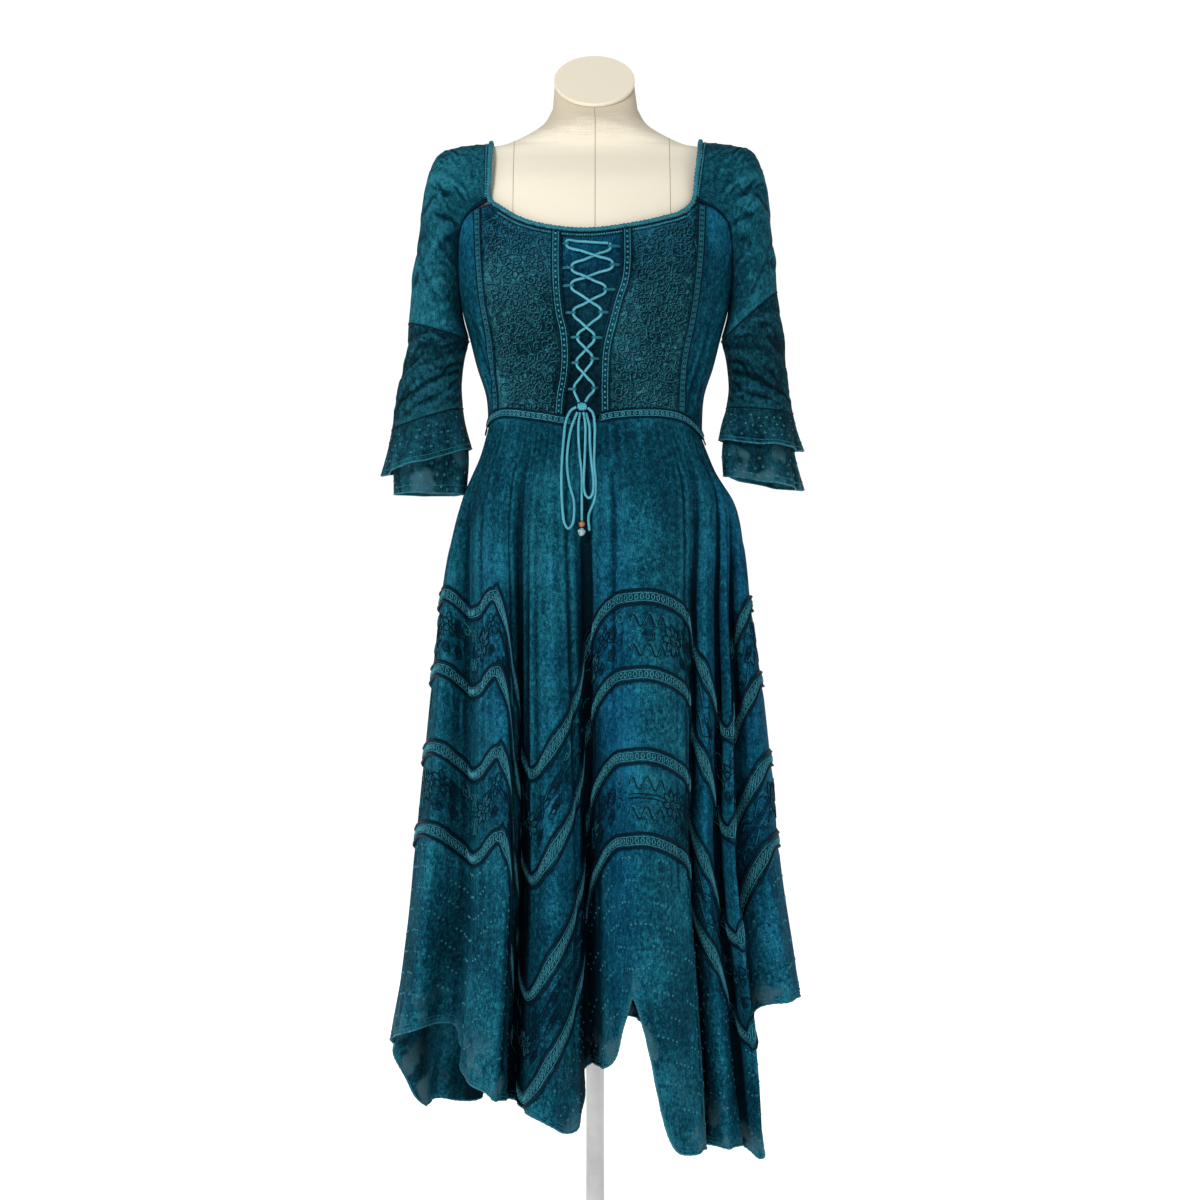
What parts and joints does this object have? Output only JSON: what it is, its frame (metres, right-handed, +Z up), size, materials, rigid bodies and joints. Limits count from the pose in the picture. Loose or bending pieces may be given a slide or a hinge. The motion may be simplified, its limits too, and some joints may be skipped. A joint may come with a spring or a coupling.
{
  "type": "laced victorian corset dress on a limbless dress form",
  "caption": "Laced-bodice dress with raglan flounced sleeves and a tiered handkerchief-hem skirt, standing on a limbless linen dress form.",
  "frame": {"origin": "the centre of the stand base's underside, on the floor", "axes": "+Z up, the front of the dress faces -Y, the picture's right side is +X"},
  "size_m": [0.5294, 0.4362, 1.5078],
  "materials": {
    "rayon_teal": "stonewashed crinkled rayon",
    "rayon_dark": "dark rayon",
    "trim_teal": "chain-stitched ladder trim",
    "lace_teal": "braided cord",
    "linen": "plain woven linen",
    "stand_paint": "satin off-white",
    "amber": "polished bead",
    "turquoise": "semi-gloss bead with silvery glints"
  },
  "bodies": {
    "root": {"bead_amber": "amber", "bead_turquoise": "turquoise", "bodice_back": "rayon_teal", "bodice_front_left": "rayon_teal", "bodice_front_right": "rayon_teal", "bodice_inset": "rayon_dark", "bodice_side_left": "rayon_teal", "bodice_side_right": "rayon_teal", "bow_loop_left": "lace_teal", "bow_loop_right": "lace_teal", "flounce_inner_left": "rayon_teal", "flounce_inner_right": "rayon_teal", "flounce_outer_left": "rayon_teal", "flounce_outer_right": "rayon_teal", "form_neck_cap": "linen", "form_torso": "linen", "lace_a": "lace_teal", "lace_b": "lace_teal", "lace_end_left": "lace_teal", "lace_end_right": "lace_teal", "lace_knot": "lace_teal", "lacing_trim_left": "trim_teal", "lacing_trim_right": "trim_teal", "loop_tape_left": "rayon_dark", "loop_tape_right": "rayon_dark", "neck_binding": "trim_teal", "princess_trim_left": "trim_teal", "princess_trim_right": "trim_teal", "skirt_bottom_back": "rayon_teal", "skirt_bottom_front": "rayon_teal", "skirt_fourth_back": "rayon_teal", "skirt_fourth_front": "rayon_teal", "skirt_second_back": "rayon_teal", "skirt_second_front": "rayon_teal", "skirt_third_back": "rayon_teal", "skirt_third_front": "rayon_teal", "skirt_trim_first": "trim_teal", "skirt_trim_fourth": "trim_teal", "skirt_trim_second": "trim_teal", "skirt_trim_third": "trim_teal", "skirt_upper_back": "rayon_teal", "skirt_upper_front": "rayon_teal", "sleeve_lower_left": "rayon_teal", "sleeve_lower_right": "rayon_teal", "sleeve_upper_left": "rayon_teal", "sleeve_upper_right": "rayon_teal", "stand_base": "stand_paint", "stand_pole": "stand_paint", "waist_trim_left": "trim_teal", "waist_trim_right": "trim_teal"}
  },
  "joints": []
}
